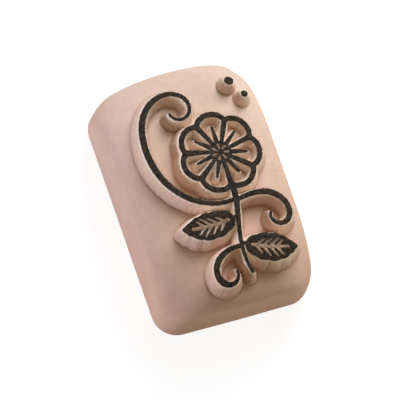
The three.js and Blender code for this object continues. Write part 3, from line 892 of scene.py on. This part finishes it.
def foam_material():
    """Matt moulded foam: mottled beige with fine grain and pores, paler where it was cut, with painted light
    and shade: darker and warmer towards the near end, lighter towards the far end, lighter in the recesses, a
    painted highlight on the lips and painted shade along the foot.
    """
    nodes = Nodes(bpy.data.materials.new("stamp_foam"))
    nodes.place = nodes.add("ShaderNodeTexCoord").outputs["Object"]
    mottle = nodes.ramp(nodes.noise(90), [(0.35, linear(231, 202, 187)), (0.65, linear(224, 192, 176))])
    blotch = nodes.ramp(nodes.noise(420, 4), [(0.3, linear(234, 206, 191)), (0.7, linear(220, 187, 170))])
    skin = nodes.mix(BLOTCHES, mottle, blotch)
    # Painted light and shade along the block: darker and warmer at the near end, lighter at the far end
    along = nodes.add("ShaderNodeSeparateXYZ")
    nodes.link(nodes.place, along.inputs[0])
    far_end = nodes.math("MULTIPLY_ADD", along.outputs["Y"], PAINTED_LIGHT_RATE, PAINTED_LIGHT_MIDDLE)
    end_to_end_painted_light = nodes.ramp(far_end, [(0.1, NEAR_END_PAINTED_SHADE), (0.9, FAR_END_PAINTED_LIGHT)])
    skin = nodes.mix(1.0, skin, end_to_end_painted_light, "MULTIPLY")
    grain = nodes.ramp(nodes.noise(3200, 2), [(0.35, 0.93), (0.65, 1.0)])
    skin = nodes.mix(1.0, skin, grain, "MULTIPLY")

    # The cut: walls paler where the print stands close, partly the cut foam's own colour and partly painted
    # light in the recesses; paler lips, partly painted highlight; and a brown line along the foot, painted
    # shade in its crease
    cut = nodes.ramp(nodes.noise(700, 3), [(0.3, linear(254, 236, 217)), (0.7, linear(248, 225, 203))])
    # Painted light in the recesses: the closer the walls stand round a point, the paler its cut colour
    walls = nodes.math("MULTIPLY", nodes.attribute("wall"), nodes.attribute("shade"))
    skin = nodes.mix(nodes.math("MULTIPLY", walls, WALL_CUT_AND_PAINTED_LIGHT), skin, cut)
    # Paler lips along the crowns' edges: partly the bare foam's lip, partly painted highlight
    lip_paleness_and_highlight = nodes.math("MULTIPLY", nodes.attribute("lip"), LIP_PALENESS_AND_HIGHLIGHT)
    skin = nodes.mix(lip_paleness_and_highlight, skin, linear(255, 243, 230))
    # Painted shade: a brown line in the crease along the foot of the walls
    foot = nodes.math("MULTIPLY", nodes.attribute("foot"), FOOT_PAINTED_SHADE)
    skin = nodes.mix(foot, skin, linear(190, 152, 126))

    # Pores, few and scattered
    pores = nodes.add("ShaderNodeTexVoronoi", Scale=420.0)
    nodes.link(nodes.place, pores.inputs["Vector"])
    pore = nodes.ramp(pores.outputs["Distance"], [(0.05, 0.0), (0.12, 1.0)])
    rare = nodes.ramp(nodes.noise(130, 1), [(0.62, 1.0), (0.68, 0.0)])
    pore = nodes.mix(1.0, pore, rare, "LIGHTEN")
    skin = nodes.mix(PORES, skin, nodes.mix(pore, linear(150, 112, 88), skin))

    shader = nodes.add("ShaderNodeBsdfPrincipled", **{"Specular IOR Level": FOAM_SPECULAR})
    nodes.link(skin, shader.inputs["Base Color"])
    nodes.link(nodes.ramp(nodes.noise(900, 2), [(0.3, 0.8), (0.7, 0.95)]), shader.inputs["Roughness"])
    normal = nodes.bump(nodes.noise(2600, 3), 0.00005)
    normal = nodes.bump(nodes.noise(500, 3), 0.0001, below=normal)
    normal = nodes.bump(pore, 0.0001, 0.6, below=normal)
    nodes.link(normal, shader.inputs["Normal"])
    return nodes.finish(shader)


def ink_material():
    """A matt black coat over foam: grain shows through, with faint grey flecks, partly wear and partly
    painted sheen.
    """
    nodes = Nodes(bpy.data.materials.new("stamp_ink"))
    nodes.place = nodes.add("ShaderNodeTexCoord").outputs["Object"]
    coat = nodes.ramp(nodes.noise(900, 4), [(0.4, linear(6, 2, 0)), (0.62, linear(70, 57, 45))])
    # Lighter grey flecks: partly wear, partly painted sheen on the ink's grain
    wear_and_sheen = nodes.ramp(nodes.noise(2600, 3, 0.7), [(0.5, linear(20, 13, 7)), (0.72, linear(124, 112, 100))])
    shader = nodes.add("ShaderNodeBsdfPrincipled", **{"Specular IOR Level": INK_SPECULAR})
    nodes.link(nodes.mix(INK_WEAR_AND_SHEEN, coat, wear_and_sheen), shader.inputs["Base Color"])
    nodes.link(nodes.ramp(nodes.noise(1500, 3), [(0.3, 0.5), (0.7, 0.75)]), shader.inputs["Roughness"])
    nodes.link(nodes.bump(nodes.noise(1800, 4, 0.65), 0.0002), shader.inputs["Normal"])
    return nodes.finish(shader)


def floor_material():
    """White where it is seen, with the object's soft shadow, and warm in the light that it throws back."""
    nodes = Nodes(bpy.data.materials.new("studio_floor"))
    shadowed = nodes.add("ShaderNodeBsdfDiffuse", Color=(*FLOOR_SHADOWED, 1))
    glow = nodes.add("ShaderNodeEmission", Color=(*WHITE, 1), Strength=FLOOR_GLOW)
    white = nodes.add("ShaderNodeAddShader")
    nodes.link(shadowed.outputs[0], white.inputs[0])
    nodes.link(glow.outputs[0], white.inputs[1])
    warm = nodes.add("ShaderNodeBsdfDiffuse", Color=(*FLOOR_BOUNCE, 1))
    return nodes.finish(nodes.plain_where_seen(warm, white))


# Studio

WHITE = (1, 1, 1)
FLOOR_SHADOWED = (0.2, 0.2, 0.2)  # the share of the floor's white that the lamps light
FLOOR_GLOW = 0.9  # the share that they don't
FLOOR_BOUNCE = (0.6, 0.5, 0.4)
FLOOR_REACH = 3
WORLD_COLOUR = (1, 0.7, 0.3)
WORLD_STRENGTH = 0.12
LIT_POINT = (0, 0, 0.015)
LAMPS = {  # place, size, watts and colour
    "key": ((0.12, 0.171, 0.241), (0.2, 0.2), 0.97, (0.92, 0.95, 1.0)),
    "left_fill": ((-0.5, 0, 0.07), (0.3, 0.1), 1.58, (0.83, 0.82, 0.96)),
    "right_fill": ((0.48, -0.3, 0.05), (0.3, 0.08), 0.97, (0.98, 1.0, 0.9)),
}


def area_light(name, place, size, power, colour):
    light = bpy.data.lights.new(name, "AREA")
    light.shape = "RECTANGLE"
    light.size, light.size_y = size
    light.energy = power
    light.color = colour
    lamp = bpy.data.objects.new(name, light)
    lamp.location = place
    lamp.rotation_euler = (Vector(LIT_POINT) - Vector(place)).to_track_quat("-Z", "Y").to_euler()
    bpy.context.scene.collection.objects.link(lamp)


# The photograph's view: 400 pixels wide, seen from the left and the near end, and rolled
IMAGE_SIZE = 400
VIEW_LEFT = 0.257  # share of the line of sight that points to -X
VIEW_NEAR = 0.254  # and to -Y
VIEW_ROLL = 19.275  # degrees
PIXELS_PER_MM = 3.752
ORIGIN_PIXEL = (195.93, 209.10)  # of the middle of the flat back
LENS = 1200
SENSOR = 36
CAMERA_RANGE = 50


def add_camera():
    sight = Vector((-VIEW_LEFT, -VIEW_NEAR, math.sqrt(1 - VIEW_LEFT**2 - VIEW_NEAR**2)))
    up = (Vector((0, 1, 0)) - sight * sight.y).normalized()
    right = up.cross(sight)
    turn = math.radians(VIEW_ROLL)
    image_right = right * math.cos(turn) - up * math.sin(turn)
    image_up = right * math.sin(turn) + up * math.cos(turn)
    half = IMAGE_SIZE / 2
    target = image_right * (half - ORIGIN_PIXEL[0]) + image_up * (ORIGIN_PIXEL[1] - half)
    target *= MM / PIXELS_PER_MM
    distance = IMAGE_SIZE / PIXELS_PER_MM * MM * LENS / SENSOR
    data = bpy.data.cameras.new("camera")
    data.lens = LENS
    data.sensor_width = SENSOR
    data.clip_end = CAMERA_RANGE
    camera = bpy.data.objects.new("camera", data)
    axes = Matrix((image_right, image_up, sight)).transposed().to_4x4()
    camera.matrix_world = Matrix.Translation(target + sight * distance) @ axes
    bpy.context.scene.collection.objects.link(camera)
    bpy.context.scene.camera = camera


def add_world():
    """A weak warm light from all round, and white where it is seen."""
    nodes = Nodes(bpy.data.worlds.new("studio"), "ShaderNodeOutputWorld")
    light = nodes.add("ShaderNodeBackground", Color=(*WORLD_COLOUR, 1), Strength=WORLD_STRENGTH)
    white = nodes.add("ShaderNodeBackground", Color=(*WHITE, 1), Strength=1)
    bpy.context.scene.world = nodes.finish(nodes.plain_where_seen(light, white))


def add_floor():
    mesh = bpy.data.meshes.new("studio_floor")
    corners = [(x * FLOOR_REACH, y * FLOOR_REACH, 0) for x, y in ((-1, -1), (1, -1), (1, 1), (-1, 1))]
    mesh.from_pydata(corners, [], [(0, 1, 2, 3)])
    mesh.materials.append(floor_material())
    floor = bpy.data.objects.new("studio_floor", mesh)
    bpy.context.scene.collection.objects.link(floor)


def add_studio():
    add_floor()
    add_world()
    for name, settings in LAMPS.items():
        area_light(name, *settings)
    bpy.context.scene.view_settings.view_transform = "Standard"


art = Print()
foam = foam_mesh(art, foam_material())
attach(foam, "root")
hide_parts("foam_block", *[f"relief_{name}" for name in art.motifs])
ink = ink_material()
for name, piece in ink_meshes(art, ink):
    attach(piece, "root")
    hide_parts(f"ink_{name}")
add_studio()
add_camera()
